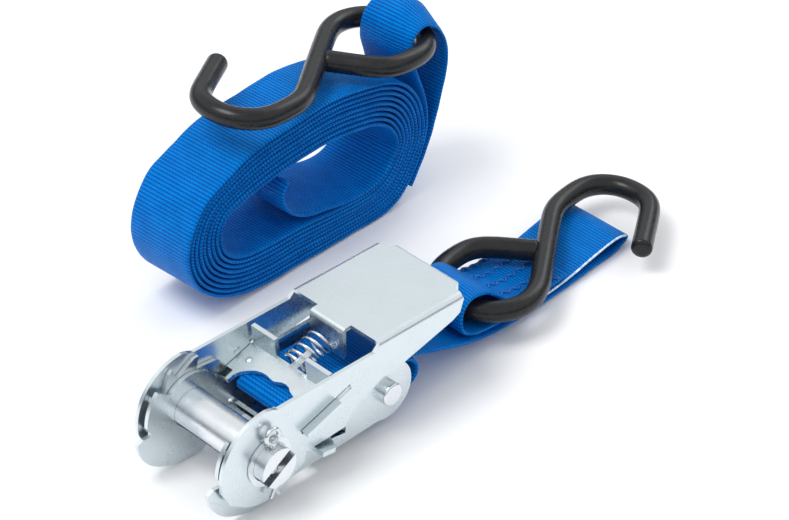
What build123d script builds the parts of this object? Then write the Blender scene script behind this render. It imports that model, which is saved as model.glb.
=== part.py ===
import math
import os

from build123d import *

os.makedirs("parts", exist_ok=True)

# Ratchet tie down, millimetres.  Working axes: spindle axis at x = z = 0, X runs from the
# spindle to the grip and the hook, Y across, near side is -Y.  SHIFT puts the finished
# object on the ground, centred on its own box.
SHIFT = (-80.474, -34.721, 17.314)

BASE_IN, BASE_OUT = 14.0, 15.3
WHEEL_IN, WHEEL_OUT = 15.4, 16.7
HANDLE_IN, HANDLE_OUT = 16.8, 18.0
SPINDLE_R = 6.0
SPINDLE_END = 22.5
SPINDLE_SLIT = 3.2
SPINDLE_TILT = 32.0
RUN_FIT = 0.06
CAM_R = 15.6
TOOTH_TIP_R = 15.2
TOOTH_ROOT_R = 11.2
TEETH = 10
BOLT = (46.6, -3.1)
BOLT_R = 3.0
SLEEVE_R = 4.0
PIN_Y = 20.0
PAWL_T = 1.5
DRIVE_LINE = (-1.05, math.radians(18.0))
LOCK_LINE = (-3.6, math.radians(-8.3))
STRAP_W = 24.6
STRAP_T = 1.4
HOOK_STEEL_R = 2.7
HOOK_COAT_R = 3.3


def at(radius, degrees):
    a = math.radians(degrees)
    return (radius * math.cos(a), radius * math.sin(a))


def outline(start, *steps):
    """Closed face; a step is a point, or (through, end) for an arc."""
    edges = []
    here = start
    for step in steps:
        if isinstance(step[0], tuple):
            edges.append(ThreePointArc(here, step[0], step[1]))
            here = step[1]
        else:
            edges.append(Line(here, step))
            here = step
    edges.append(Line(here, start))
    return make_face(edges)


def slab(face, y0, y1):
    """Side-view face pushed through from y0 to y1."""
    return extrude(Plane.XZ.offset(-y1) * face, y1 - y0)


def both_sides(face, inner, outer):
    return slab(face, inner, outer) + slab(face, -outer, -inner)


def block(x0, x1, y0, y1, z0, z1):
    return Pos((x0 + x1) / 2, (y0 + y1) / 2, (z0 + z1) / 2) * Box(x1 - x0, y1 - y0, z1 - z0)


def across(radius, y0, y1, x=0.0, z=0.0):
    """Cylinder with its axis along Y."""
    return Pos(x, (y0 + y1) / 2, z) * Rot(90, 0, 0) * Cylinder(radius, y1 - y0)


def sloped(line):
    """Plane of a pawl: local x outward along the plate, local y along world Y."""
    height, angle = line
    return Plane(origin=(0, 0, height), x_dir=(math.cos(angle), 0, math.sin(angle)),
                 z_dir=(-math.sin(angle), 0, math.cos(angle)))


def spring(radius, wire, length, coils):
    """Coil along +Z from z = 0 with its ends flat enough to seat."""
    path = Helix(pitch=(length - wire) / coils, height=length - wire, radius=radius)
    start = Plane(origin=path @ 0, z_dir=path % 0)
    return Pos(0, 0, wire / 2) * sweep(start * Circle(wire / 2), path=path)


def save(name, shape):
    shape = Pos(*SHIFT) * shape
    shape.label = name
    export_step(shape, f"parts/{name}.step")
    return shape


# Base frame: two side plates with the cam outline, cross web and spring tab.
base_side = outline(
    at(11.0, 30), (at(11.0, 80), at(10.6, 128)), at(10.4, 132), (-11.2, 10.7),
    (at(CAM_R, 157), at(CAM_R, 178)), (-14.5, -1.3), (-14.6, -2.5), (-17.2, -2.2), (-19.3, -3.2),
    (at(19.9, -160), at(18.9, -132)), (at(17.9, -116), (-4.6, -16.9)), (2.7, -16.9),
    (10.6, -13.3), (43.4, -12.05), ((56.1, -3.1), (46.6, 6.4)), (27.0, 6.2), (16.6, 2.9), (13.2, 2.3))
lock_slot = sloped(LOCK_LINE) * Pos(22.3, 0, 0) * Box(17.6, 40, PAWL_T + 0.5)
base = both_sides(base_side, BASE_IN, BASE_OUT)
base += block(18, 40, -BASE_IN, BASE_IN, -12.6, -11.3)
base += block(32.0, 33.3, -5.0, 5.0, -11.4, -4.2)
base -= lock_slot
base -= sloped(LOCK_LINE) * Pos(33, 0, 0) * Box(6, 3.4, PAWL_T + 0.6)
base -= across(SPINDLE_R + RUN_FIT, -16, 16)
base -= across(BOLT_R, -16, 16, *BOLT)
save("base_frame", base)

bolt_near = across(BOLT_R - 0.02, -BASE_OUT - 0.5, BASE_OUT, *BOLT)
bolt_near += across(3.6, -18.2, -BASE_OUT, *BOLT)
bolt_near = fillet(bolt_near.edges().sort_by(Axis.Y)[0], 0.7)
save("fixing_bolt", bolt_near)
far_head = across(4.4, BASE_OUT, 17.2, *BOLT)
far_head = fillet(far_head.edges().sort_by(Axis.Y)[-1], 0.6)
save("bolt_far_head", far_head)
sleeve = across(SLEEVE_R, -13.9, 13.9, *BOLT) - across(BOLT_R + 0.05, -14, 14, *BOLT)
save("spacer_sleeve", sleeve)

# Handle: one bent stamping, side plates joined by the grip plate and its front flange.
handle_side = outline(
    at(16.7, 90), (at(16.7, 140), at(16.7, -171)), at(16.0, -151), at(14.4, -128),
    (at(13.3, -85), at(13.3, -45)), (13.2, -7.6), (13.6, -4.6), (27.8, -4.1), (31.2, -0.4),
    (38.8, 3.5), (42.2, 5.2), (50.7, 6.3), (69.7, 11.0), (72.5, 12.4), (74.0, 16.5), (73.6, 18.0),
    (42.4, 18.0), (39.6, 15.3), (4.0, 15.3), (2.0, 16.2))
grip = Pos(57.9, 0, 17.4) * extrude(make_face(Polyline(
    (-15.9, -18.0), (15.8, -18.0), (16.6, -13.2), (19.6, -12.2), (19.6, 12.2), (16.6, 13.2),
    (15.8, 18.0), (-15.9, 18.0), (-16.7, 16.6), (-16.7, 6.8), (-19.9, 6.8), (-19.9, -6.8),
    (-16.7, -6.8), (-16.7, -16.6), close=True)), 0.6, both=True)
handle = both_sides(handle_side, HANDLE_IN, HANDLE_OUT) + grip
handle += block(76.3, 77.5, -12.2, 12.2, 14.6, 17.4)
handle += block(38.0, 39.2, -6.8, 6.8, 8.0, 17.4)
outer_bends = handle.edges().filter_by(Axis.X).filter_by_position(Axis.Z, 17.9, 18.1)
handle = fillet(outer_bends.filter_by_position(Axis.X, 56, 60), 2.0)
for x, radius in ((38.0, 1.7), (77.5, 1.2)):
    bend = handle.edges().filter_by(Axis.Y).filter_by_position(Axis.Z, 17.9, 18.1)
    handle = fillet(bend.filter_by_position(Axis.X, x - 0.1, x + 0.1), radius)
handle -= sloped(DRIVE_LINE) * Pos(22.35, 0, 0) * Box(19.3, 40, PAWL_T + 0.4)
handle -= sloped(DRIVE_LINE) * Pos(40.5, 0, 0) * Box(8, 3.2, PAWL_T + 0.6)
handle -= across(SPINDLE_R + RUN_FIT, -19, 19)
save("handle_frame", handle)

# Drive pawl: plate, ears in the handle slots, two finger tabs, tongue for the spring.
drive_face = make_face(Polyline(
    (27.3, -15.9), (27.3, -1.3), (34.5, -1.0), (34.5, 1.0), (27.3, 1.3), (27.3, 15.9),
    (26.2, 16.7), (26.2, 20.6), (12.9, 20.6), (12.9, 16.9), (16.4, 16.7), (16.4, 13.9),
    (13.1, 13.8), (13.1, 12.6), (15.6, 12.5), (17.3, 11.6), (18.8, 10.0), (20.0, 8.2), (20.6, 6.2),
    (20.7, 4.2), (20.4, 2.4), (20.3, 1.2), (20.8, 0.0), (21.4, -1.2), (21.6, -2.6), (21.3, -4.2),
    (20.4, -5.6), (19.8, -7.6), (19.4, -9.6), (18.2, -11.5), (15.6, -12.5), (13.1, -12.6),
    (13.1, -13.8), (16.4, -13.9), (16.4, -16.7), (12.9, -16.9), (12.9, -20.6), (26.2, -20.6),
    (26.2, -16.7), close=True))
drive = sloped(DRIVE_LINE) * extrude(drive_face, PAWL_T / 2, both=True)
for side in (-1, 1):
    tab = Pos(25.3, side * 11.05, 11.0) * Rot(0, -6, 0) * Box(1.4, 9.7, 7.4)
    drive += tab
save("drive_pawl", drive)
seat = sloped(DRIVE_LINE) * Pos(27.45, 0, 0.9) * Rot(0, 90, 0)
save("drive_spring", seat * spring(3.85, 0.9, 10.9, 5))

# Lock pawl: plate through the base slots, ears outside, tongue into the base tab.
lock_face = make_face(Polyline(
    (25.0, -15.2), (25.0, -1.4), (33.4, -1.2), (33.4, 1.2), (25.0, 1.4), (25.0, 15.2),
    (22.0, 21.0), (17.3, 21.0), (17.3, 16.6), (15.6, 16.6), (15.6, -16.6), (17.3, -16.6),
    (17.3, -21.0), (22.0, -21.0), close=True))
save("lock_pawl", sloped(LOCK_LINE) * extrude(lock_face, PAWL_T / 2, both=True))
seat = sloped(LOCK_LINE) * Pos(25.15, 0, 0) * Rot(0, 90, 0)
save("lock_spring", seat * spring(2.6, 0.7, 6.5, 3.2))

# Spindle: two half-moon bars with a slit between them, cross-drilled for the split pins.
bar = across(SPINDLE_R, -SPINDLE_END, SPINDLE_END)
pin_holes = Pos(0, PIN_Y, 0) * Cylinder(1.25, 14) + Pos(0, -PIN_Y, 0) * Cylinder(1.25, 14)
for name, side in (("spindle_bar_upper", 1), ("spindle_bar_lower", -1)):
    keep = Pos(0, 0, side * (SPINDLE_SLIT / 2 + 5)) * Box(20, 50, 10)
    half = bar & (Rot(0, -SPINDLE_TILT, 0) * keep)
    save(name, half - pin_holes)

# Ratchet wheels: sawtooth rims, keyed on the two bars.
wheel_points = []
for i in range(TEETH):
    a = 360 / TEETH * i
    wheel_points += [at(TOOTH_TIP_R, a), at(TOOTH_TIP_R - 0.5, a + 6), at(TOOTH_ROOT_R + 1.2, a + 20),
                     at(TOOTH_ROOT_R, a + 33), at(TOOTH_ROOT_R + 0.5, a + 35.2)]
wheel_face = make_face(Polyline(*wheel_points, close=True))
key = (across(SPINDLE_R + 0.03, -20, 20)
       - Rot(0, -SPINDLE_TILT, 0) * Box(20, 50, SPINDLE_SLIT - 0.06))
for name, y0, y1 in (("ratchet_wheel_near", -WHEEL_OUT, -WHEEL_IN),
                     ("ratchet_wheel_far", WHEEL_IN, WHEEL_OUT)):
    save(name, slab(wheel_face, y0, y1) - key)

washers = []
for side in (-1, 1):
    y0, y1 = sorted((side * 18.12, side * 18.72))
    washers.append(across(7.6, y0, y1) - across(SPINDLE_R + 0.05, y0 - 1, y1 + 1))
save("spindle_washers", Compound(washers))

# Split pins: eye above, shank through both bars, two legs spread below.
for name, side in (("split_pin_near", -1), ("split_pin_far", 1)):
    pin = Cylinder(1.15, 15.6)
    pin += Pos(0, 0, 9.5) * Rot(90, 0, 0) * Torus(2.2, 0.7)
    for lean in (-1, 1):
        leg = Pos(lean * 0.55, 0, -7.4) * Rot(0, lean * 28, 0) * Pos(0, 0, -2.0)
        pin += leg * Cylinder(0.6, 4.4)
    save(name, Pos(0, side * PIN_Y, 0) * pin)


def dense(points, gap=1.6):
    """Evenly spaced points on the smooth curve through a few given ones."""
    curve = Spline(*points)
    count = int(curve.length / gap)
    return [((curve @ (i / count)).X, (curve @ (i / count)).Y) for i in range(count + 1)]


def normal_at(points, i):
    before, after = points[max(i - 1, 0)], points[min(i + 1, len(points) - 1)]
    dx, dz = after[0] - before[0], after[1] - before[1]
    return -dz / math.hypot(dx, dz), dx / math.hypot(dx, dz)


def webbing(points, thickness):
    """Strap of constant thickness along a side-view path, flat side across it."""
    left, right = [], []
    for i, (x, z) in enumerate(points):
        nx, nz = normal_at(points, i)
        left.append((x + nx * thickness / 2, z + nz * thickness / 2))
        right.append((x - nx * thickness / 2, z - nz * thickness / 2))
    return slab(make_face(Polyline(*left, *right[::-1], close=True)), -STRAP_W / 2, STRAP_W / 2)


def stitch_rows(points, low, high, thickness, rows, flip=1):
    """Short bars lying on the webbing between two stretches of the path."""
    bars = []
    for i in range(low, high):
        nx, nz = normal_at(points, i)
        lift = flip * (thickness / 2 + 0.16)
        x, z = points[i][0] + nx * lift, points[i][1] + nz * lift
        for y in rows:
            bars.append(Pos(x, y, z) * Rot(0, math.degrees(math.atan2(nx, nz)), 0) * Box(1.1, 0.9, 0.24))
    return Compound(bars)


def nearest(points, x, z):
    return min(range(len(points)), key=lambda i: math.dist(points[i], (x, z)))


STITCH_ROWS = [-9.6, -6.4, -3.2, 0.0, 3.2, 6.4, 9.6]

# Short strap: sewn eye round the bolt, fold by the drum, run out, fold, eye round the hook.
SHORT_YAW = 5.2
EYE_PATH = (
    (21.5, -2.7), (26, -2.7), (30, -2.75), (35.5, -3.9), (40.3, -6.8), (46.0, -9.2), (52, -10.5), (58, -10.5),
    (62.0, -8.6), (63.0, -5.6), (61.0, -2.4), (56.5, -0.3), (51, 1.1), (46.6, 1.65), (41, 1.4),
    (36, 0.2), (30, -0.8), (25, -0.85), (20, -0.85), (16.6, -0.4), (15.1, 1.2), (16.6, 2.8),
    (20, 3.3), (25, 3.3), (34, 3.3), (44, 3.3))
OUT_PATH = (
    (49.4, 3.25), (53, 2.6), (58.5, 0.6), (64.5, -2.2), (71, -4.9), (84.5, -10.3), (99, -13.9),
    (121, -15.8), (145, -16.1), (156, -16.1), (160.8, -14.0), (156, -12.1), (146, -12.9),
    (134, -13.7), (121, -13.8), (108, -12.6), (97, -11.1), (89.5, -9.7), (85.0, -7.0),
    (84.0, -2.8), (86.2, 1.1), (91.0, 2.8), (97.0, 1.4), (102.4, -3.8), (107, -9.0), (114, -11.4),
    (122, -12.0), (132, -11.9))
yaw = Pos(46.6, 0, 0) * Rot(0, 0, SHORT_YAW) * Pos(-46.6, 0, 0)
eye_points = dense(EYE_PATH)
out_points = dense(OUT_PATH)
top_z = 3.3
bridge = block(43.9, 49.5, -STRAP_W / 2, STRAP_W / 2, top_z - STRAP_T / 2, top_z + STRAP_T / 2)
run_out = webbing(out_points, STRAP_T)
run_out -= block(80, 112, 9.8, 13, -8.4, 6) + block(80, 104, -13, -10.8, -8.4, 6)
inner_bridge = bridge - block(46.6, 52, -14, 14, 0, 6)
short_strap = webbing(eye_points, STRAP_T) + inner_bridge + yaw * (run_out + bridge)
save("short_strap", short_strap)
neck = stitch_rows(eye_points, 1, 5, STRAP_T, STITCH_ROWS, -1)
last = nearest(out_points, 131, -11.9)
ties = stitch_rows(out_points, last - 8, last - 1, STRAP_T, STITCH_ROWS)
save("short_strap_stitching", Compound([neck, yaw * ties]))

# S-hooks: one bent rod each, closed eye at one end, open throat at the other, dipped coat.
HOOK_CORNERS = ((19.9, 1.0), (8.1, 16.6), (-21.9, 14.7), (-18.3, -16.5), (3.3, -13.9),
                (43.2, 13.4), (69.4, 15.9), (67.8, -5.6), (48.2, -17.7))
HOOK_BENDS = (10.0, 16.4, 16.4, 20.0, 18.0, 12.0, 8.0)


def bent(corners, bends):
    """Line and arc path with a bend radius at every inner corner."""
    parts = []
    here = Vector(*corners[0])
    for i, radius in enumerate(bends, start=1):
        a, b, c = (Vector(*corners[k]) for k in (i - 1, i, i + 1))
        u, v = (a - b).normalized(), (c - b).normalized()
        half = math.acos(max(-1.0, min(1.0, u.dot(v)))) / 2
        reach = radius / math.tan(half)
        middle = b + (u + v).normalized() * (radius / math.sin(half) - radius)
        parts.append(Line(here, b + u * reach))
        parts.append(ThreePointArc(b + u * reach, middle, b + v * reach))
        here = b + v * reach
    parts.append(Line(here, Vector(*corners[-1])))
    return Wire(parts)


def place_hook(name, where):
    path = bent(HOOK_CORNERS, HOOK_BENDS)
    start = Plane(origin=path @ 0, z_dir=path % 0)
    coat = sweep(start * Circle(HOOK_COAT_R), path=path)
    ends = coat.faces().filter_by(GeomType.PLANE)
    coat = offset(coat, amount=HOOK_STEEL_R + 0.03 - HOOK_COAT_R, openings=ends)
    steel = sweep(start * Circle(HOOK_STEEL_R), path=path) - coat
    save(f"{name}_rod", where * steel)
    save(f"{name}_coating", where * coat)


SHORT_HOOK = Pos(108.9, 4.0, -5.6) * Rot(1.1, 2.3, 3.6)
LONG_HOOK = Pos(125.0, 73.8, 38.8) * Rot(1.6, 7.2, 2.7) * Rot(0, 0, 180)
place_hook("short_hook", SHORT_HOOK)
place_hook("long_hook", LONG_HOOK)

# Long strap: wound in an oval coil, outer end led up over its hook's eye and sewn.
COIL_TURNS = 9.0
COIL_T = 1.15
OUTER = ((139.0, 7.6), (136.6, 19.6), (128.0, 29.9), (115.5, 34.6), (95.0, 37.9), (83.0, 36.9),
         (63.4, 35.2), (53.6, 31.4), (42.6, 24.9), (36.5, 17.9), (34.2, 12.4), (33.9, 5.0),
         (37.2, -1.9), (46.3, -11.2), (62.0, -16.3), (80.0, -16.9), (108.0, -16.9), (124.0, -16.2),
         (129.2, -12.6), (136.9, 1.1))
INNER = ((124.3, 6.9), (121.4, 13.0), (115.0, 17.2), (107.0, 19.2), (96.0, 20.6), (82.0, 20.4),
         (67.5, 18.6), (58.0, 16.8), (52.5, 15.0), (51.0, 11.5), (51.2, 8.0), (52.2, 5.0),
         (55.0, 2.0), (60.0, 0.0), (70.0, -0.9), (82.0, -1.2), (98.0, -2.9), (111.1, -3.7),
         (118.0, -1.5), (122.5, 3.5))


RING_STEPS = 240


def hit(p, n, ring):
    """Distance from p along n to a closed ring of points."""
    best = 1e9
    for a, b in zip(ring, ring[1:] + ring[:1]):
        ex, ez = b[0] - a[0], b[1] - a[1]
        den = n[0] * ez - n[1] * ex
        if abs(den) > 1e-9:
            reach = ((a[0] - p[0]) * ez - (a[1] - p[1]) * ex) / den
            along = ((a[0] - p[0]) * n[1] - (a[1] - p[1]) * n[0]) / den
            if reach > 0 and 0 <= along <= 1:
                best = min(best, reach)
    return best


def closed_ring(points):
    curve = Spline(*points, periodic=True)
    return [((curve @ (i / RING_STEPS)).X, (curve @ (i / RING_STEPS)).Y) for i in range(RING_STEPS)]


inner_ring, outer_ring = closed_ring(INNER), closed_ring(OUTER)
normals = []
for i in range(RING_STEPS):
    before, after = inner_ring[i - 4], inner_ring[(i + 4) % RING_STEPS]
    dx, dz = after[0] - before[0], after[1] - before[1]
    normals.append((dz / math.hypot(dx, dz), -dx / math.hypot(dx, dz)))
raw = [hit(p, n, outer_ring) for p, n in zip(inner_ring, normals)]
depths = [sum(raw[(i + k) % RING_STEPS] for k in range(-6, 7)) / 13 for i in range(RING_STEPS)]


def coil_point(turn):
    """Centre line of the winding, turn 0 innermost, counted from the right-hand end."""
    place = (turn % 1.0) * RING_STEPS
    i, share = int(place) % RING_STEPS, place % 1.0
    j = (i + 1) % RING_STEPS
    out = (turn + 0.5) / (COIL_TURNS + 1.0)
    rows = [(inner_ring[k][0] + normals[k][0] * depths[k] * out,
             inner_ring[k][1] + normals[k][1] * depths[k] * out) for k in (i, j)]
    return tuple(a + (b - a) * share for a, b in zip(*rows))


COIL_PLACE = Pos(88, 72.5, 0) * Rot(0, 0, 3.3) * Pos(-88, 0, 0)
FIRST_TURN = -0.17
TAIL = ((72.6, 17.0), (70.8, 13.5), (71.4, 9.0), (74.5, 4.0), (79.0, 0.6), (85.0, -1.3), (92.0, -2.0))
RISE = ((138.6, 12.0), (137.4, 19.0), (134.2, 28.0), (131.4, 36.0), (131.6, 42.5), (136.0, 47.0),
        (142.5, 48.0), (148.8, 44.5), (151.0, 37.5), (149.4, 28.0), (145.8, 18.0), (142.0, 8.0),
        (138.9, 0.0), (134.4, -7.5), (131.2, -12.2))
steps = int((COIL_TURNS - FIRST_TURN) * 90)
wound = [coil_point(FIRST_TURN + (COIL_TURNS - FIRST_TURN) * i / steps) for i in range(steps + 1)]
long_points = dense(list(TAIL) + wound + list(RISE), 3.0)
long_strap = webbing(long_points, COIL_T) - block(124, 147, 9.8, 14, 22, 60)
save("long_strap", COIL_PLACE * long_strap)
last = nearest(long_points, 142.0, 8.0)
seam = stitch_rows(long_points, last - 1, last + 2, COIL_T, STITCH_ROWS)
save("long_strap_stitching", COIL_PLACE * seam)
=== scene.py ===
import bpy
import math
from mathutils import Matrix, Vector, noise


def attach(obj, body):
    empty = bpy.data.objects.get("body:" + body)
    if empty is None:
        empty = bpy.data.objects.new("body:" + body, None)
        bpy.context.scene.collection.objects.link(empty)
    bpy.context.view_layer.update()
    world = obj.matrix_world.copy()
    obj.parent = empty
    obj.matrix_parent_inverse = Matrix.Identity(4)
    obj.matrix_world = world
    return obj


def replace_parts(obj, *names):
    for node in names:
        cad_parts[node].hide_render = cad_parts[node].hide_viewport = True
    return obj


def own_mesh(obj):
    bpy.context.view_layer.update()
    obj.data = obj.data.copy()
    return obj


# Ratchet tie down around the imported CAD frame.  Shapes are worked out in millimetres in the CAD's
# working axes: spindle axis at x = z = 0, X from the spindle to the hook, Y across, near side -Y.
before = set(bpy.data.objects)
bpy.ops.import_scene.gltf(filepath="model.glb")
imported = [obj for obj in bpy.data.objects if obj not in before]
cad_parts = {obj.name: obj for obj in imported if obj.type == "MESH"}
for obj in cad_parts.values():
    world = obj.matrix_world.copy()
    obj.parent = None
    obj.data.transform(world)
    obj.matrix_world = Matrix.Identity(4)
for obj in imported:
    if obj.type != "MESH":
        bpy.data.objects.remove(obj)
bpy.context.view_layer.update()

MM = 0.001
SHIFT = Vector((-80.474, -34.721, 17.314))   # working axes to the frame
HALF_WIDTH = 12.3                            # half of the webbing's width


def to_frame(point):
    return (point + SHIFT) * MM


# ---------------------------------------------------------------- materials
def material(name, color, rough, metallic=0.0):
    m = bpy.data.materials.new(name)
    m.use_nodes = True
    n = m.node_tree.nodes
    shader = n["Principled BSDF"]
    shader.inputs["Base Color"].default_value = (*color, 1.0)
    shader.inputs["Roughness"].default_value = rough
    shader.inputs["Metallic"].default_value = metallic
    return m, shader


def node(m, kind, **values):
    made = m.node_tree.nodes.new(kind)
    for key, value in values.items():
        if key in made.inputs:
            made.inputs[key].default_value = value
        else:
            setattr(made, key, value)
    return made


def link(m, a, a_out, b, b_in):
    m.node_tree.links.new(a.outputs[a_out], b.inputs[b_in])


def math_node(m, operation, a, b=None):
    made = node(m, "ShaderNodeMath", operation=operation)
    for i, v in enumerate((a, b)):
        if v is None:
            continue
        if isinstance(v, (int, float)):
            made.inputs[i].default_value = v
        else:
            m.node_tree.links.new(v, made.inputs[i])
    return made.outputs[0]


def object_noise(m, scale, detail=3.0, rough=0.55, stretch=(1, 1, 1)):
    place = node(m, "ShaderNodeTexCoord")
    mapping = node(m, "ShaderNodeMapping")
    mapping.inputs["Scale"].default_value = stretch
    made = node(m, "ShaderNodeTexNoise", Scale=scale, Detail=detail, Roughness=rough)
    link(m, place, "Object", mapping, "Vector")
    link(m, mapping, "Vector", made, "Vector")
    return made


def ramp(m, value, stops):
    made = node(m, "ShaderNodeValToRGB")
    cr = made.color_ramp
    while len(cr.elements) < len(stops):
        cr.elements.new(0.5)
    for e, (pos, col) in zip(cr.elements, stops):
        e.position = pos
        e.color = (*col, 1.0)
    m.node_tree.links.new(value, made.inputs["Fac"])
    return made


def bump(m, shader, height, strength, distance):
    made = node(m, "ShaderNodeBump", Strength=strength, Distance=distance)
    m.node_tree.links.new(height, made.inputs["Height"])
    link(m, made, "Normal", shader, "Normal")


def zinc(name, base, rough_low, rough_high, grain=(1, 1, 1)):
    """Plated or cut steel: cloudy tone and roughness, fine grain in the bump."""
    m, s = material(name, base, 0.3, 1.0)
    cloud = object_noise(m, 130.0, 4.0, 0.6)
    fine = object_noise(m, 700.0, 3.0, 0.6, grain)
    tone = ramp(m, cloud.outputs["Fac"], [(0.25, [c * 0.94 for c in base]), (0.75, base)])
    link(m, tone, "Color", s, "Base Color")
    mixed = math_node(m, "ADD", math_node(m, "MULTIPLY", cloud.outputs["Fac"], 0.6),
                      math_node(m, "MULTIPLY", fine.outputs["Fac"], 0.4))
    spread = node(m, "ShaderNodeMapRange")
    m.node_tree.links.new(mixed, spread.inputs["Value"])
    spread.inputs["From Min"].default_value = 0.3
    spread.inputs["From Max"].default_value = 0.7
    spread.inputs["To Min"].default_value = rough_low
    spread.inputs["To Max"].default_value = rough_high
    link(m, spread, "Result", s, "Roughness")
    bump(m, s, mixed, 0.16, 0.00002)
    return m


ZINC = zinc("zinc_plate", (0.70, 0.77, 0.80), 0.24, 0.33)
ZINC_BAR = zinc("zinc_bar", (0.78, 0.81, 0.84), 0.19, 0.31, (1, 0.15, 1))
CUT_STEEL = zinc("cut_edges", (0.60, 0.64, 0.67), 0.18, 0.4)
WIRE = zinc("wire", (0.70, 0.73, 0.76), 0.12, 0.26)


def webbing(name, low, mid, high, rib=1.15, warp=0.62):
    """Woven polyester on the strap's own metres; rib and warp thread spacing in millimetres."""
    m, s = material(name, mid, 0.5)
    uv = node(m, "ShaderNodeUVMap", uv_map="weave")
    split = node(m, "ShaderNodeSeparateXYZ")
    link(m, uv, "UV", split, "Vector")
    along, over = split.outputs["X"], split.outputs["Y"]
    column = math_node(m, "FLOOR", math_node(m, "MULTIPLY", over, 1000 / warp))
    odd = math_node(m, "MODULO", math_node(m, "ABSOLUTE", column), 2.0)
    phase = math_node(m, "ADD", math_node(m, "MULTIPLY", along, 1000 * math.pi / rib),
                      math_node(m, "MULTIPLY", odd, 0.35))
    float_over = math_node(m, "ABSOLUTE", math_node(m, "SINE", phase))
    turn_over = math_node(m, "MULTIPLY", over, 1000 * math.pi / warp)
    thread = math_node(m, "ABSOLUTE", math_node(m, "SINE", turn_over))
    height = math_node(m, "MULTIPLY", math_node(m, "POWER", float_over, 0.7),
                       math_node(m, "ADD", math_node(m, "MULTIPLY", thread, 0.4), 0.6))
    cloud = object_noise(m, 160.0, 3.0, 0.6)
    fuzz = object_noise(m, 2600.0, 2.0, 0.6)
    # Colour follows the weave's height: the grooves between threads are painted darker (painted shade) and the
    # raised threads lighter; the cloud and fuzz noise add random tone.
    painted_shade_and_tone = math_node(m, "ADD", math_node(m, "MULTIPLY", height, 0.5),
                      math_node(m, "ADD", math_node(m, "MULTIPLY", cloud.outputs["Fac"], 0.24),
                                math_node(m, "MULTIPLY", fuzz.outputs["Fac"], 0.22)))
    tone = ramp(m, painted_shade_and_tone, [(0.16, low), (0.55, mid), (0.92, high)])
    link(m, tone, "Color", s, "Base Color")
    s.inputs["Specular IOR Level"].default_value = 0.16
    s.inputs["Specular Tint"].default_value = (0.02, 0.38, 1.0, 1.0)
    both = math_node(m, "ADD", height, math_node(m, "MULTIPLY", fuzz.outputs["Fac"], 0.5))
    worn = math_node(m, "ADD", 0.45, math_node(m, "MULTIPLY", cloud.outputs["Fac"], 0.8))
    bump(m, s, math_node(m, "MULTIPLY", both, worn), 0.8, 0.00022)
    return m


WEB = webbing("blue_webbing", (0.0005, 0.030, 0.15), (0.0008, 0.138, 0.52),
              (0.002, 0.32, 0.90))


def coating():
    """Black plastic that the hooks are dipped in."""
    m, s = material("dipped_coating", (0.014, 0.014, 0.015), 0.3)
    cloud = object_noise(m, 300.0, 3.0)
    tone = ramp(m, cloud.outputs["Fac"], [(0.3, (0.010, 0.010, 0.011)),
                                          (0.75, (0.017, 0.017, 0.018))])
    link(m, tone, "Color", s, "Base Color")
    spread = ramp(m, cloud.outputs["Fac"], [(0.25, (0.2, 0.2, 0.2)),
                                            (0.8, (0.34, 0.34, 0.34))])
    link(m, spread, "Color", s, "Roughness")
    s.inputs["Specular IOR Level"].default_value = 0.3
    bump(m, s, cloud.outputs["Fac"], 0.12, 0.0003)
    return m


COAT = coating()


def thread_material():
    m, s = material("thread", (0.004, 0.10, 0.42), 0.55)
    fine = object_noise(m, 3000.0, 2.0)
    tone = ramp(m, fine.outputs["Fac"], [(0.3, (0.002, 0.06, 0.28)), (0.7, (0.006, 0.16, 0.6))])
    link(m, tone, "Color", s, "Base Color")
    bump(m, s, fine.outputs["Fac"], 0.5, 0.0001)
    return m


THREAD = thread_material()

for name, m in (("base_frame", ZINC), ("fixing_bolt", ZINC_BAR), ("bolt_far_head", ZINC_BAR),
                ("spacer_sleeve", ZINC_BAR), ("handle_frame", ZINC), ("drive_pawl", ZINC),
                ("lock_pawl", ZINC), ("spindle_bar_upper", ZINC_BAR),
                ("spindle_bar_lower", ZINC_BAR), ("ratchet_wheel_near", CUT_STEEL),
                ("ratchet_wheel_far", CUT_STEEL),
                ("split_pin_near", WIRE), ("split_pin_far", WIRE), ("spindle_washers", ZINC_BAR),
                ("drive_spring", WIRE), ("lock_spring", WIRE)):
    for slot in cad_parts[name].material_slots:
        slot.material = m


# ---------------------------------------------------------------- mesh helpers
def mesh_piece(name, verts, faces, body, mat, uvs=None):
    """A smooth mesh from working millimetres, riding on a body."""
    mesh = bpy.data.meshes.new(name)
    mesh.from_pydata([tuple(to_frame(v)) for v in verts], [], faces)
    if uvs:
        layer = mesh.uv_layers.new(name="weave")
        for loop in mesh.loops:
            layer.data[loop.index].uv = uvs[loop.vertex_index]
    for poly in mesh.polygons:
        poly.use_smooth = True
    mesh.materials.append(mat)
    mesh.update()
    piece = bpy.data.objects.new(name, mesh)
    bpy.context.scene.collection.objects.link(piece)
    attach(piece, body)
    return piece


def tube_faces(rings, ring, base=0):
    """Quads between rings of vertices from number base on, and a cap on each end."""
    faces = []
    for i in range(base, base + (rings - 1) * ring, ring):
        for k in range(ring):
            j = (k + 1) % ring
            faces.append((i + k, i + j, i + ring + j, i + ring + k))
    last = base + (rings - 1) * ring
    faces.append(tuple(base + k for k in range(ring - 1, -1, -1)))
    faces.append(tuple(last + k for k in range(ring)))
    return faces


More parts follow.
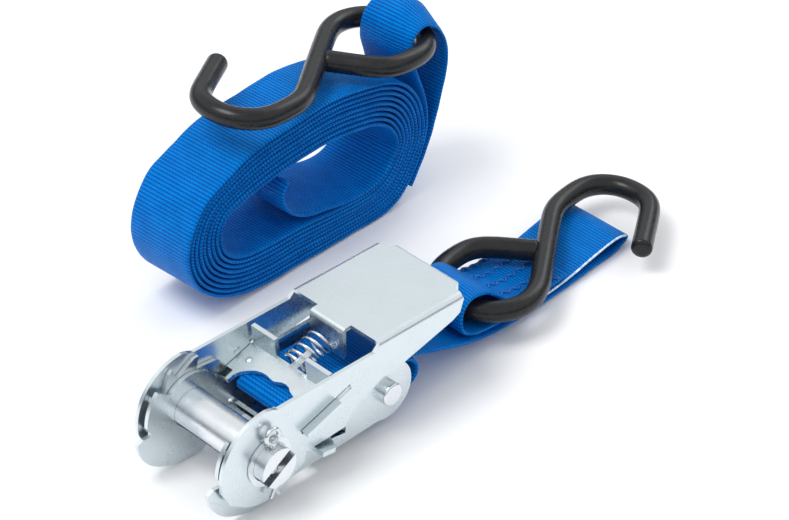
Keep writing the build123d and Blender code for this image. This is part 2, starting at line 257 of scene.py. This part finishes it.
def smooth_line(points, gap):
    """Evenly spaced points on a centripetal curve through the given ones."""
    pts = [Vector(p) for p in points]
    ext = [pts[0] * 2 - pts[1]] + pts + [pts[-1] * 2 - pts[-2]]
    fine = []
    for i in range(1, len(ext) - 2):
        p0, p1, p2, p3 = ext[i - 1:i + 3]
        d = [max((b - a).length, 1e-6) ** 0.5 for a, b in ((p0, p1), (p1, p2), (p2, p3))]
        m1 = (p1 - p0) / d[0] - (p2 - p0) / (d[0] + d[1]) + (p2 - p1) / d[1]
        m2 = (p2 - p1) / d[1] - (p3 - p1) / (d[1] + d[2]) + (p3 - p2) / d[2]
        m1, m2 = m1 * d[1], m2 * d[1]
        steps = max(2, int((p2 - p1).length / gap * 3))
        for k in range(steps):
            t = k / steps
            t2, t3 = t * t, t * t * t
            fine.append(p1 * (2 * t3 - 3 * t2 + 1) + m1 * (t3 - 2 * t2 + t)
                        + p2 * (-2 * t3 + 3 * t2) + m2 * (t3 - t2))
    fine.append(pts[-1])
    marks = [0.0]
    for a, b in zip(fine, fine[1:]):
        marks.append(marks[-1] + (b - a).length)
    count = max(2, int(marks[-1] / gap))
    out, k = [], 0
    for i in range(count + 1):
        goal = marks[-1] * i / count
        while k < len(marks) - 2 and marks[k + 1] < goal:
            k += 1
        share = (goal - marks[k]) / max(marks[k + 1] - marks[k], 1e-9)
        out.append(fine[k].lerp(fine[k + 1], min(1.0, share)))
    return out


def wobble(seed, x, scale):
    """Smooth noise along x, the same each run."""
    return noise.noise(Vector((x / scale, seed * 7.31, 0.37)))


ACROSS = [-1.0, -0.975, -0.9, -0.75, -0.6, -0.45, -0.3, -0.15, 0.0, 0.15, 0.3, 0.45, 0.6, 0.75,
          0.9, 0.975, 1.0]
SELVEDGE = 0.9     # where the rounding of the strap's edge starts, as a share of its half width


def strap(name, line, body, thickness, place, cup, half_width, seed, ragged=0.12):
    """Webbing swept along a side-view line of (x, y, z); rounded selvedges, slight unevenness.
    cup(i, v) lifts a point along the normal; half_width(i) and the line's y shape the rest."""
    n = len(line)
    verts, uvs, run = [], [], 0.0
    for i, p in enumerate(line):
        a, b = line[max(i - 1, 0)], line[min(i + 1, n - 1)]
        t = b - a
        nx, nz = -t.z, t.x
        size = math.hypot(nx, nz) or 1.0
        nrm = Vector((nx / size, 0, nz / size))
        if i:
            run += (p - line[i - 1]).length
        half = half_width(i) + ragged * wobble(seed, run, 5.0)
        slide = 0.35 * wobble(seed + 3, run, 60.0)
        for side in (1, -1):
            for v in (ACROSS if side == 1 else ACROSS[::-1]):
                edge = max(0.0, abs(v) - SELVEDGE) / 0.1
                thick = thickness / 2 * math.sqrt(max(0.0, 1 - edge ** 2 * 0.86))
                q = p + nrm * (side * thick + cup(i, v)) + Vector((0, v * half + slide, 0))
                verts.append(place @ q)
                uvs.append((run * MM, v * half * MM))
    faces = tube_faces(n, 2 * len(ACROSS))
    return mesh_piece(name, verts, faces, body, WEB, uvs), run


def nearest(line, x, z):
    """Number of the line's point nearest to (x, z)."""
    return min(range(len(line)), key=lambda i: (line[i].x - x) ** 2 + (line[i].z - z) ** 2)


def stitches(name, line, first, last, thickness, place, body, reach=11.0):
    """Five rows of zigzag thread lying on the webbing: short fat loops that dip at both ends."""
    rows, stride, rings, ring, thread_r = 5, 2, 6, 6, 0.42
    verts, faces = [], []

    def loop_at(start, end, up):
        cross = (end - start).cross(up).normalized()
        base = len(verts)
        for a in range(rings + 1):
            t = a / rings
            mid = start.lerp(end, t) + up * (math.sin(math.pi * t) * 0.34 - 0.22)
            rr = thread_r * (0.55 + 0.45 * math.sin(math.pi * t))
            for b in range(ring):
                ang = b * math.pi / 3
                verts.append(mid + cross * math.cos(ang) * rr + up * math.sin(ang) * rr)
        faces.extend(tube_faces(rings + 1, ring, base))

    for row in range(rows):
        y = -reach + 2 * reach * row / (rows - 1)
        flip = 1
        for i in range(first, last - stride + 1, stride):
            a, b = line[i], line[i + stride]
            t = (b - a).normalized()
            up = Vector((-t.z, 0, t.x))
            lift = up * (thickness / 2 + 0.12)
            sway = Vector((0, 1.1 * flip, 0))
            loop_at(a + lift + Vector((0, y, 0)) - sway, b + lift + Vector((0, y, 0)) + sway, up)
            flip = -flip
    return mesh_piece(name, [place @ v for v in verts], faces, body, THREAD)


# ---------------------------------------------------------------- short strap
EYE = [(21.5, -2.7), (26, -2.7), (30, -2.75), (35.5, -3.9), (40.3, -6.8), (46.0, -9.2), (52, -10.5),
       (58, -10.5), (62.0, -8.6), (63.0, -5.6), (61.0, -2.4), (56.5, -0.3), (51, 1.1), (46.6, 1.65),
       (41, 1.4), (36, 0.2), (30, -0.8), (25, -0.85), (20, -0.85), (16.6, -0.4), (15.1, 1.2),
       (16.6, 2.8), (20, 3.3), (25, 3.3), (34, 3.3), (44, 3.3)]
OUT = [(49.4, 3.25), (53, 2.6), (58.5, 0.6), (64.5, -2.2), (71, -4.9), (84.5, -10.3), (99, -13.9),
       (121, -15.8), (145, -16.1), (157.5, -16.1), (162.4, -14.1), (158, -12.2), (147, -12.4),
       (134, -13.7), (121, -13.8), (108, -12.6), (97, -11.1), (89.5, -9.7), (85.0, -7.0),
       (84.0, -2.8), (86.2, 1.1), (91.0, 2.8), (97.0, 1.4), (102.4, -3.8), (107, -9.0),
       (114, -11.4), (122, -12.0), (132, -11.9)]
STRAP_T = 1.35
YAW = 0.095                                  # the run out leads off to the far side
AS_DRAWN = Matrix.Identity(4)
short_line = smooth_line([(x, YAW * max(0.0, x - 46.6), z) for x, z in EYE + OUT], 1.1)
crest = nearest(short_line, 91.0, 2.8)       # top of the loop round the hook's eye


def short_half(i):
    """The loop is drawn in a little where the hook pulls it."""
    return HALF_WIDTH - 2.2 * math.exp(-((i - crest) / 13.0) ** 2)


def short_cup(i, v):
    """A crown over the eye, and a dent where the loop folds down."""
    near = math.exp(-((i - crest - 4) / 9.0) ** 2)
    fold = math.exp(-((i - crest - 10) / 6.0) ** 2)
    return near * (-0.5 - 0.9 * v * v) - fold * 1.5 * math.exp(-((v - 0.1) / 0.5) ** 2)


piece, length = strap("short_webbing", short_line, "base", STRAP_T, AS_DRAWN, short_cup,
                      short_half, 1.0)
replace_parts(piece, "short_strap")
sewn_end = len(short_line) - 2
sewn = stitches("short_stitching", short_line, sewn_end - 22, sewn_end - 2, STRAP_T, AS_DRAWN,
                "base")
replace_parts(sewn, "short_strap_stitching")

# Painted highlight along the near edge of the fold: a thin pale strip with four corners, standing in for light
# caught on the strap's edge.
RIM = [Vector((0, 0.25, 0.42)), Vector((0, -0.22, 0.25)), Vector((0, -0.22, -0.1)),
       Vector((0, 0.25, -0.1))]
first = nearest(short_line[:crest], 161.5, -12.9)
last = nearest(short_line[:crest], 112.0, -12.9)
verts = []
for i in range(first, last):
    t = (short_line[i + 1] - short_line[i - 1]).normalized()
    p = short_line[i] + Vector((-t.z, 0, t.x)) * -0.2 + Vector((0, -12.25, 0))
    verts += [p + corner for corner in RIM]
# Pale blue-white colour with noise: painted highlight, not the colour of a thread.
m, shader = material("painted_edge_highlight", (0.72, 0.84, 0.95), 0.5)
highlight_noise = object_noise(m, 900.0, 2.0)
tone = ramp(m, highlight_noise.outputs["Fac"], [(0.3, (0.30, 0.55, 0.85)), (0.6, (0.80, 0.90, 1.0))])
link(m, tone, "Color", shader, "Base Color")
mesh_piece("short_edge_painted_highlight", verts, tube_faces(last - first, len(RIM)), "base", m)

# ---------------------------------------------------------------- hooks
HOOK_CORNERS = [(19.9, 1.0), (8.1, 15.8), (-19.7, 14.0), (-16.1, -16.9), (3.3, -14.3),
                (43.2, 13.4), (69.4, 15.9), (67.8, -5.6), (48.2, -17.7)]
HOOK_BENDS = [10.0, 14.8, 14.8, 20.0, 18.0, 12.0, 8.0]
HOOK_R = 3.3                                 # over the coating
HOOK_GAP = 0.8                               # between the rings of the mesh
# Rounded end: how far out each ring lies, and its share of the radius.
HOOK_CAP = [(0.25, 0.985), (0.55, 0.93), (0.85, 0.83), (1.1, 0.68), (1.25, 0.48), (1.33, 0.2)]


def hook_line(corners, bends):
    """The rod's middle: straight runs with an arc at each corner, then eased."""
    pts = [Vector((*corners[0], 0))]
    for i, radius in enumerate(bends, start=1):
        a, b, c = (Vector((*corners[k], 0)) for k in (i - 1, i, i + 1))
        u, v = (a - b).normalized(), (c - b).normalized()
        half = u.angle(v) / 2
        reach = radius / math.tan(half)
        centre = b + (u + v).normalized() * radius / math.sin(half)
        p, q = b + u * reach - centre, b + v * reach - centre
        sweep = p.angle(q) * (1 if p.cross(q).z > 0 else -1)
        steps = max(4, int(abs(sweep) * radius / 2.5))
        for k in range(steps + 1):
            pts.append(centre + Matrix.Rotation(sweep * k / steps, 3, "Z") @ p)
    pts.append(Vector((*corners[-1], 0)))
    keep = [pts[0]]
    for p in pts[1:]:
        if (p - keep[-1]).length > 1.2:
            keep.append(p)
    path = smooth_line(keep, HOOK_GAP)
    for _ in range(3):
        soft = [sum(path[i - 3:i + 4], Vector()) / 7 for i in range(3, len(path) - 3)]
        path = path[:3] + soft + path[-3:]
    return path


def hook(name, place, body, seed, bowl, tip):
    """A dipped S-hook; bowl moves its open end in the hook's plane, tip lengthens it."""
    corners = HOOK_CORNERS[:5] + [(x + bowl[0], y + bowl[1]) for x, y in HOOK_CORNERS[5:]]
    a, b = Vector(corners[-2]), Vector(corners[-1])
    corners[-1] = tuple(b + (b - a).normalized() * tip)
    path = hook_line(corners, HOOK_BENDS)
    n, ring = len(path), 28
    stations = []
    for i, p in enumerate(path):
        t = (path[min(i + 1, n - 1)] - path[max(i - 1, 0)]).normalized()
        stations.append((p, t, 1.0))
    p, t, _ = stations[0]
    start = [(p - t * out, t, r) for out, r in reversed(HOOK_CAP)]
    p, t, _ = stations[-1]
    end = [(p + t * out, t, r) for out, r in HOOK_CAP]
    stations = start + stations + end
    verts, run, up = [], 0.0, Vector((0, 0, 1))
    for p, t, r in stations:
        run += HOOK_GAP
        side = Vector((-t.y, t.x, 0))
        rad = HOOK_R * r * (1 + 0.014 * wobble(seed, run, 9.0))
        for b in range(ring):
            a = 2 * math.pi * b / ring
            verts.append(place @ (p + side * math.cos(a) * rad + up * math.sin(a) * rad))
    return mesh_piece(name, verts, tube_faces(len(stations), ring), body, COAT)


def turn(rx, ry, rz):
    """Intrinsic X, Y, Z turns in degrees, as the CAD places its hooks."""
    out = Matrix.Identity(4)
    for axis, deg in (("X", rx), ("Y", ry), ("Z", rz)):
        out = out @ Matrix.Rotation(math.radians(deg), 4, axis)
    return out


SHORT_PLACE = Matrix.Translation((108.9, 4.0, -5.6)) @ turn(1.1, 2.3, 3.6)
LONG_PLACE = Matrix.Translation((125.0, 73.8, 38.8)) @ turn(1.6, 7.2, 2.7) @ turn(0, 0, 180)
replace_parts(hook("short_hook_dipped", SHORT_PLACE, "short_hook", 2.0, (-1.4, -1.5), 3.0),
            "short_hook_coating", "short_hook_rod")
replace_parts(hook("long_hook_dipped", LONG_PLACE, "long_hook", 5.0, (0.8, 0.9), 0.6),
            "long_hook_coating", "long_hook_rod")

# ---------------------------------------------------------------- long strap
OUTER = [(139.0, 7.6), (136.6, 19.6), (128.0, 29.9), (115.5, 34.6), (95.0, 37.9), (83.0, 36.9),
         (63.4, 35.2), (53.6, 31.4), (42.6, 24.9), (36.5, 17.9), (34.2, 12.4), (33.9, 5.0),
         (37.2, -1.9), (46.3, -11.2), (62.0, -16.3), (80.0, -16.9), (108.0, -16.9), (124.0, -16.2),
         (129.2, -12.6), (136.9, 1.1)]
INNER = [(124.3, 6.9), (121.4, 13.0), (115.0, 17.2), (107.0, 19.2), (96.0, 20.6), (82.0, 20.4),
         (67.5, 18.6), (58.0, 16.8), (52.5, 15.0), (51.0, 11.5), (51.2, 8.0), (52.2, 5.0),
         (55.0, 2.0), (60.0, 0.0), (70.0, -0.9), (82.0, -1.2), (98.0, -2.9), (111.1, -3.7),
         (118.0, -1.5), (122.5, 3.5)]
TURNS, FIRST, COIL_T = 9.0, -0.17, 1.3
RING = 240


def ring_of(points):
    """RING points round a closed outline, from its first point back to it."""
    loop = smooth_line([(x, 0, z) for x, z in points[-2:] + points + points[:3]], 0.2)
    middle = len(loop) // 2
    cut = loop[nearest(loop[:middle], *points[0]):nearest(loop[middle:], *points[0]) + middle]
    return [cut[int(i * len(cut) / RING)] for i in range(RING)]


def reach_to(p, n, ring):
    """How far from p, in direction n, the ring is met."""
    best = 1e9
    for a, b in zip(ring, ring[1:] + ring[:1]):
        ex, ez = b.x - a.x, b.z - a.z
        den = n[0] * ez - n[1] * ex
        if abs(den) > 1e-9:
            r = ((a.x - p.x) * ez - (a.z - p.z) * ex) / den
            s = ((a.x - p.x) * n[1] - (a.z - p.z) * n[0]) / den
            if r > 0 and 0 <= s <= 1:
                best = min(best, r)
    return best


inner, outer = ring_of(INNER), ring_of(OUTER)
normals = []
for i in range(RING):
    a, b = inner[i - 4], inner[(i + 4) % RING]
    size = math.hypot(b.x - a.x, b.z - a.z)
    normals.append(((b.z - a.z) / size, -(b.x - a.x) / size))
raw = [reach_to(p, n, outer) for p, n in zip(inner, normals)]
depth = [sum(raw[(i + k) % RING] for k in range(-6, 7)) / 13 for i in range(RING)]


def coil_point(t):
    """The webbing's middle after t turns, counted from inside."""
    place = (t % 1.0) * RING
    i = int(place) % RING
    j, share = (i + 1) % RING, place % 1.0
    out = (t + 0.5) / (TURNS + 1.0)
    (ax, az), (bx, bz) = [(inner[k].x + normals[k][0] * depth[k] * out,
                           inner[k].z + normals[k][1] * depth[k] * out) for k in (i, j)]
    return (ax + (bx - ax) * share, 0, az + (bz - az) * share)


TAIL = [(77.4, 0, 16.0), (75.2, 0, 13.2), (75.4, 0, 9.2), (78.0, 0, 4.6), (82.2, 0, 1.3),
        (87.2, 0, -0.7), (92.6, 0, -1.8)]
RISE = [(138.6, 0, 12.0), (137.0, -0.4, 19.0), (133.4, -1.2, 28.0), (130.6, -1.8, 36.0),
        (131.0, -2.0, 42.5), (135.4, -2.0, 46.8), (140.6, -2.2, 47.9), (145.2, -2.4, 44.8),
        (147.4, -2.4, 37.5), (146.9, -2.0, 28.0), (144.6, -1.2, 18.0), (141.8, -0.4, 8.0),
        (138.9, 0, 0.0), (134.4, 0, -7.5), (131.2, 0, -12.2)]
steps = int((TURNS - FIRST) * 60)
wound = [coil_point(FIRST + (TURNS - FIRST) * i / steps) for i in range(steps + 1)]
long_line = smooth_line(TAIL + wound + RISE, 1.4)
COIL_PLACE = (Matrix.Translation((88, 72.5, 0)) @ Matrix.Rotation(math.radians(3.3), 4, "Z")
              @ Matrix.Translation((-88, 0, 0)))
INNER_END = 60                               # points of the line that the raised inner end takes
top = max(range(len(long_line)), key=lambda i: long_line[i].z)


def long_half(i):
    """The loop is drawn in where it passes over the hook's eye."""
    return HALF_WIDTH - 2.3 * math.exp(-((i - top) / 20.0) ** 2)


def long_cup(i, v):
    """The near half of the loop follows the eye's bend down, with a crease at mid width; the
    strap's first points, at the coil's inner end, are raised on one side."""
    if i < INNER_END:
        return 2.7 * math.exp(-((long_line[i].x - 98.0) / 15.0) ** 2) * (0.5 + 0.5 * v)
    w = math.exp(-((i - top - 2) / 9.0) ** 2)
    return -w * (0.6 + 5.6 * max(0.0, -v - 0.08) ** 1.25 + 1.2 * max(0.0, v - 0.2) ** 2)


piece, length = strap("long_webbing", long_line, "coil", COIL_T, COIL_PLACE, long_cup,
                      long_half, 4.0, 0.16)
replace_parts(piece, "long_strap")
low = nearest(long_line[top:], 142.0, 8.0) + top
sewn = stitches("long_stitching", long_line, low - 8, low + 8, COIL_T, COIL_PLACE, "coil", 8.6)
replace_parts(sewn, "long_strap_stitching")


# ---------------------------------------------------------------- springs and dimples
def plate_frame(height, slope):
    """A pawl's own axes: x outward along the plate, y across, z off the plate."""
    return Matrix.Translation((0, 0, height)) @ Matrix.Rotation(-math.atan(slope), 4, "Y")


PAWL_T = 1.5
DRIVE = plate_frame(-1.05, math.tan(math.radians(18.0)))
LOCK = plate_frame(-3.6, -0.146)


def coil_spring(name, place, start, length, lift, radius, wire, turns, body):
    """Compression spring along the plate, its coils drawing closer together towards both ends."""
    n, ring = int(turns * 40), 12
    centre = []
    for i in range(n + 1):
        t = i / n
        share = min(1.0, max(0.0, (t - 0.07) / 0.86))     # the end coils lie flat
        eased = 0.5 - 0.5 * math.cos(math.pi * share)
        along = 0.82 * share + 0.18 * eased
        a = 2 * math.pi * turns * t + 0.6
        centre.append(Vector((start + wire / 2 + (length - wire) * along, math.cos(a) * radius,
                              lift + math.sin(a) * radius)))
    verts = []
    for i, p in enumerate(centre):
        t = (centre[min(i + 1, n)] - centre[max(i - 1, 0)]).normalized()
        out = Vector((0, p.y, p.z - lift)).normalized()
        side = t.cross(out).normalized()
        for b in range(ring):
            a = 2 * math.pi * b / ring
            verts.append(place @ (p + (out * math.cos(a) + side * math.sin(a)) * wire / 2))
    made = mesh_piece(name, verts, tube_faces(n + 1, ring), body, WIRE)
    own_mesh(made)
    return made


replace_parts(coil_spring("drive_spring_wire", DRIVE, 27.45, 10.85, 0.9, 3.9, 0.9, 4.6, "handle"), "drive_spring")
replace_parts(coil_spring("lock_spring_wire", LOCK, 25.15, 6.45, 0.0, 2.6, 0.7, 3.4, "base"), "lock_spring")


def dimple(name, place, body, radius=1.3, height=0.45):
    """Shallow pressed dome; place puts its base circle, z off the surface."""
    verts = []
    rings, ring = 5, 20
    for r in range(rings):
        a = math.pi / 2 * r / rings
        for b in range(ring):
            c = 2 * math.pi * b / ring
            verts.append(place @ Vector((math.cos(c) * radius * math.cos(a),
                                         math.sin(c) * radius * math.cos(a),
                                         height * math.sin(a) - 0.05)))
    mesh_piece(name, verts, tube_faces(rings, ring), body, ZINC)


for side, word in ((-1, "near"), (1, "far")):
    dimple(f"pawl_dimple_{word}", DRIVE @ Matrix.Translation((21.6, side * 12.7, PAWL_T / 2)),
           "drive_pawl_body", 1.1)
    dimple(f"handle_dimple_{word}", Matrix.Translation((19.6, side * 16.8, 7.6))
           @ Matrix.Rotation(math.radians(90) * side, 4, "X"), "handle")


# ---------------------------------------------------------------- edges of the pressings
for name, width in (("base_frame", 0.18), ("handle_frame", 0.2), ("drive_pawl", 0.18),
                    ("lock_pawl", 0.15), ("ratchet_wheel_near", 0.12), ("ratchet_wheel_far", 0.12),
                    ("spindle_bar_upper", 0.2), ("spindle_bar_lower", 0.2)):
    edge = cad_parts[name].modifiers.new("edge", "BEVEL")
    edge.width = width * MM
    edge.segments = 2
    edge.limit_method = "ANGLE"
    edge.angle_limit = math.radians(40)

# ---------------------------------------------------------------- stage, light, camera
floor_mesh = bpy.data.meshes.new("floor")
floor_mesh.from_pydata([(-3, -3, 0), (3, -3, 0), (3, 3, 0), (-3, 3, 0)], [], [(0, 1, 2, 3)])
floor = bpy.data.objects.new("floor", floor_mesh)
bpy.context.scene.collection.objects.link(floor)
m, s = material("floor", (0.93, 0.93, 0.935), 0.75)
cloud = object_noise(m, 3.0, 2.0)
tone = ramp(m, cloud.outputs["Fac"], [(0.2, (0.92, 0.92, 0.925)), (0.8, (0.94, 0.94, 0.945))])
link(m, tone, "Color", s, "Base Color")
floor_mesh.materials.append(m)

scene = bpy.context.scene
scene.view_settings.view_transform = "Standard"
scene.world = scene.world or bpy.data.worlds.new("World")
scene.world.use_nodes = True
sky = scene.world.node_tree.nodes["Background"]
aim = node(scene.world, "ShaderNodeTexCoord")
axes = node(scene.world, "ShaderNodeSeparateXYZ")
link(scene.world, aim, "Generated", axes, "Vector")
DOME = [(0.0, (0.16, 0.18, 0.2)), (0.22, (0.32, 0.34, 0.37)), (0.42, (0.95, 0.97, 1.0)),
        (0.65, (0.98, 0.99, 1.0)), (1.0, (0.78, 0.79, 0.8))]     # dark low down, bright above
dome = ramp(scene.world, axes.outputs["Z"], DOME)
link(scene.world, dome, "Color", sky, "Color")
sky.inputs["Strength"].default_value = 1.02


def lamp(name, at, target, size, power):
    data = bpy.data.lights.new(name, "AREA")
    data.energy, data.size = power, size
    data.shape = "SQUARE"
    obj = bpy.data.objects.new(name, data)
    scene.collection.objects.link(obj)
    obj.location = at
    obj.rotation_euler = (Vector(target) - Vector(at)).to_track_quat("-Z", "Y").to_euler()


lamp("key", (-0.35, 0.1, 0.75), (0, 0, 0), 0.35, 3.2)
lamp("side", (0.75, 0.1, 0.55), (0.05, 0, 0), 0.4, 1.0)

# Camera: its own right, up and back axes at the photograph's viewing angle.
right = Vector((0.7215, -0.6924, 0.0))
up = Vector((0.403, 0.420, 0.813)).normalized()
back = right.cross(up).normalized()
up = back.cross(right).normalized()
camera = bpy.data.objects.new("camera", bpy.data.cameras.new("camera"))
scene.collection.objects.link(camera)
spot = to_frame(Vector((-388.8, -472.1, 493.7)))
camera.matrix_world = Matrix(((right.x, up.x, back.x, spot.x), (right.y, up.y, back.y, spot.y),
                              (right.z, up.z, back.z, spot.z), (0, 0, 0, 1)))
camera.data.sensor_width = 36.0
camera.data.lens = 131.0
camera.data.clip_start = 0.05
scene.camera = camera
